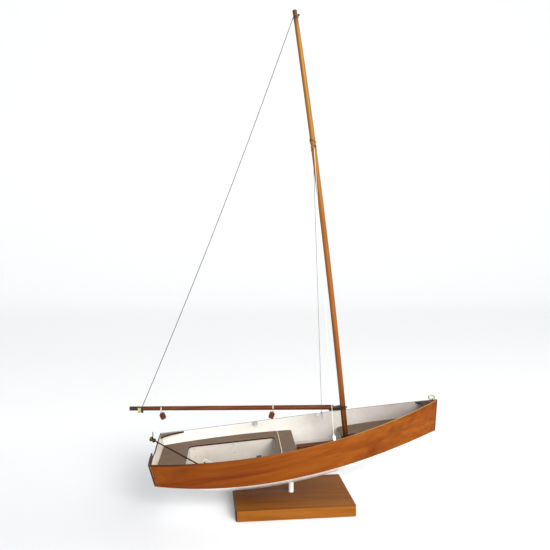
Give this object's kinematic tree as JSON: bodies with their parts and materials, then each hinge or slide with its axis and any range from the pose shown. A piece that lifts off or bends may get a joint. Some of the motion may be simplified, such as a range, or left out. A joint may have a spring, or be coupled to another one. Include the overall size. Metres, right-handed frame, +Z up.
{
  "type": "model sailing dinghy",
  "caption": "Display model of an open hard-chine sailing dinghy with mast, boom, centreboard case and rigging on a flat wooden base.",
  "frame": {"origin": "centre of the underside of the base board", "axes": "+X towards the bow, +Y to port, +Z up"},
  "size_m": [0.5725, 0.212, 0.9022],
  "materials": {
    "base_varnish": "satin varnish",
    "steel": "dull",
    "bare_wood": "bare",
    "topside_varnish": "gloss varnish",
    "bottom_paint": "gloss enamel",
    "dark_varnish": "varnish",
    "cream_paint": "satin paint",
    "grey_paint": "satin",
    "seat_paint": "matt paint",
    "dark_wood": "satin",
    "spar_varnish": "gloss varnish",
    "boom_varnish": "satin varnish",
    "cord": "braided",
    "brass": "worn",
    "block_wood": "oiled",
    "white_plastic": "gloss",
    "board_wood": "varnish"
  },
  "bodies": {
    "hull": {"stand_base": "base_varnish", "stand_post": "bottom_paint", "stand_screw": "steel", "peg_block": "bare_wood", "hog": "bare_wood", "stem": "dark_varnish", "transom": "dark_varnish", "transom_cap": "seat_paint", "port_side": "topside_varnish", "starboard_side": "topside_varnish", "port_bottom": "bottom_paint", "starboard_bottom": "bottom_paint", "chine_logs": "cream_paint", "seat_risings": "cream_paint", "port_bench": "seat_paint", "starboard_bench": "seat_paint", "stern_bench": "seat_paint", "centre_thwart": "seat_paint", "side_bench_fronts": "cream_paint", "stern_bench_front": "cream_paint", "thwart_bulkhead": "cream_paint", "mast_deck": "seat_paint", "deck_bulkhead": "cream_paint", "panel_pins": "steel", "breasthook": "seat_paint", "quarter_knee": "seat_paint", "case_port_cheek": "dark_varnish", "case_starboard_cheek": "dark_varnish", "case_posts": "dark_varnish", "centreboard_pin": "brass", "mast_step": "dark_wood", "mast": "spar_varnish", "masthead_truck": "spar_varnish", "masthead_pin": "dark_wood", "hounds_lashing": "cord", "port_shroud": "cord", "starboard_shroud": "cord", "shroud_deadeyes": "white_plastic", "rowlock_pads": "grey_paint", "bow_eye": "brass", "mainsheet": "cord"},
    "boom": {"boom": "boom_varnish", "boom_jaws": "dark_wood", "parrel": "dark_wood", "boom_wire": "steel", "wire_seizing": "dark_wood", "outhaul_whipping": "cord", "block_strops": "cord"},
    "aft_block": {"aft_block_shell": "block_wood", "aft_block_pin": "steel"},
    "aft_sheave": {"aft_block_sheave": "brass"},
    "fore_block": {"fore_block_shell": "block_wood", "fore_block_pin": "steel"},
    "fore_sheave": {"fore_block_sheave": "brass"},
    "centreboard": {"centreboard": "board_wood"},
    "bow_ring": {"bow_ring": "brass"},
    "tiller": {"tiller_rod": "dark_wood", "tiller_ferrule": "brass", "tiller_pin": "steel"}
  },
  "joints": [
    {"name": "boom_swing", "type": "hinge", "parent": "hull", "child": "boom", "pos_m": [0.09703, 0, 0.17755], "axis": [-0.1257, 0, 0.9921], "range_deg": [-60, 60]},
    {"name": "aft_block_swing", "type": "hinge", "parent": "boom", "child": "aft_block", "pos_m": [-0.23917, 0, 0.17279], "axis": [0, 1, 0], "range_deg": [-40, 40]},
    {"name": "aft_sheave_spin", "type": "hinge", "parent": "aft_block", "child": "aft_sheave", "pos_m": [-0.23661, 0, 0.1667], "axis": [0, 1, 0], "continuous": true},
    {"name": "fore_block_swing", "type": "hinge", "parent": "boom", "child": "fore_block", "pos_m": [-0.03418, 0, 0.17064], "axis": [0, 1, 0], "range_deg": [-40, 40]},
    {"name": "fore_sheave_spin", "type": "hinge", "parent": "fore_block", "child": "fore_sheave", "pos_m": [-0.03657, 0, 0.16449], "axis": [0, 1, 0], "continuous": true},
    {"name": "centreboard_drop", "type": "hinge", "parent": "hull", "child": "centreboard", "pos_m": [0.0838, 0, 0.07432], "axis": [0, -1, 0], "range_deg": [0, 19]},
    {"name": "bow_ring_swing", "type": "hinge", "parent": "hull", "child": "bow_ring", "pos_m": [0.26737, 0, 0.1893], "axis": [0.9882, 0, 0.153], "range_deg": [-30, 140]},
    {"name": "tiller_slide", "type": "slide", "parent": "hull", "child": "tiller", "axis": [-0.7956, 0.557, 0.2381], "range_m": [0, 0.03]}
  ]
}
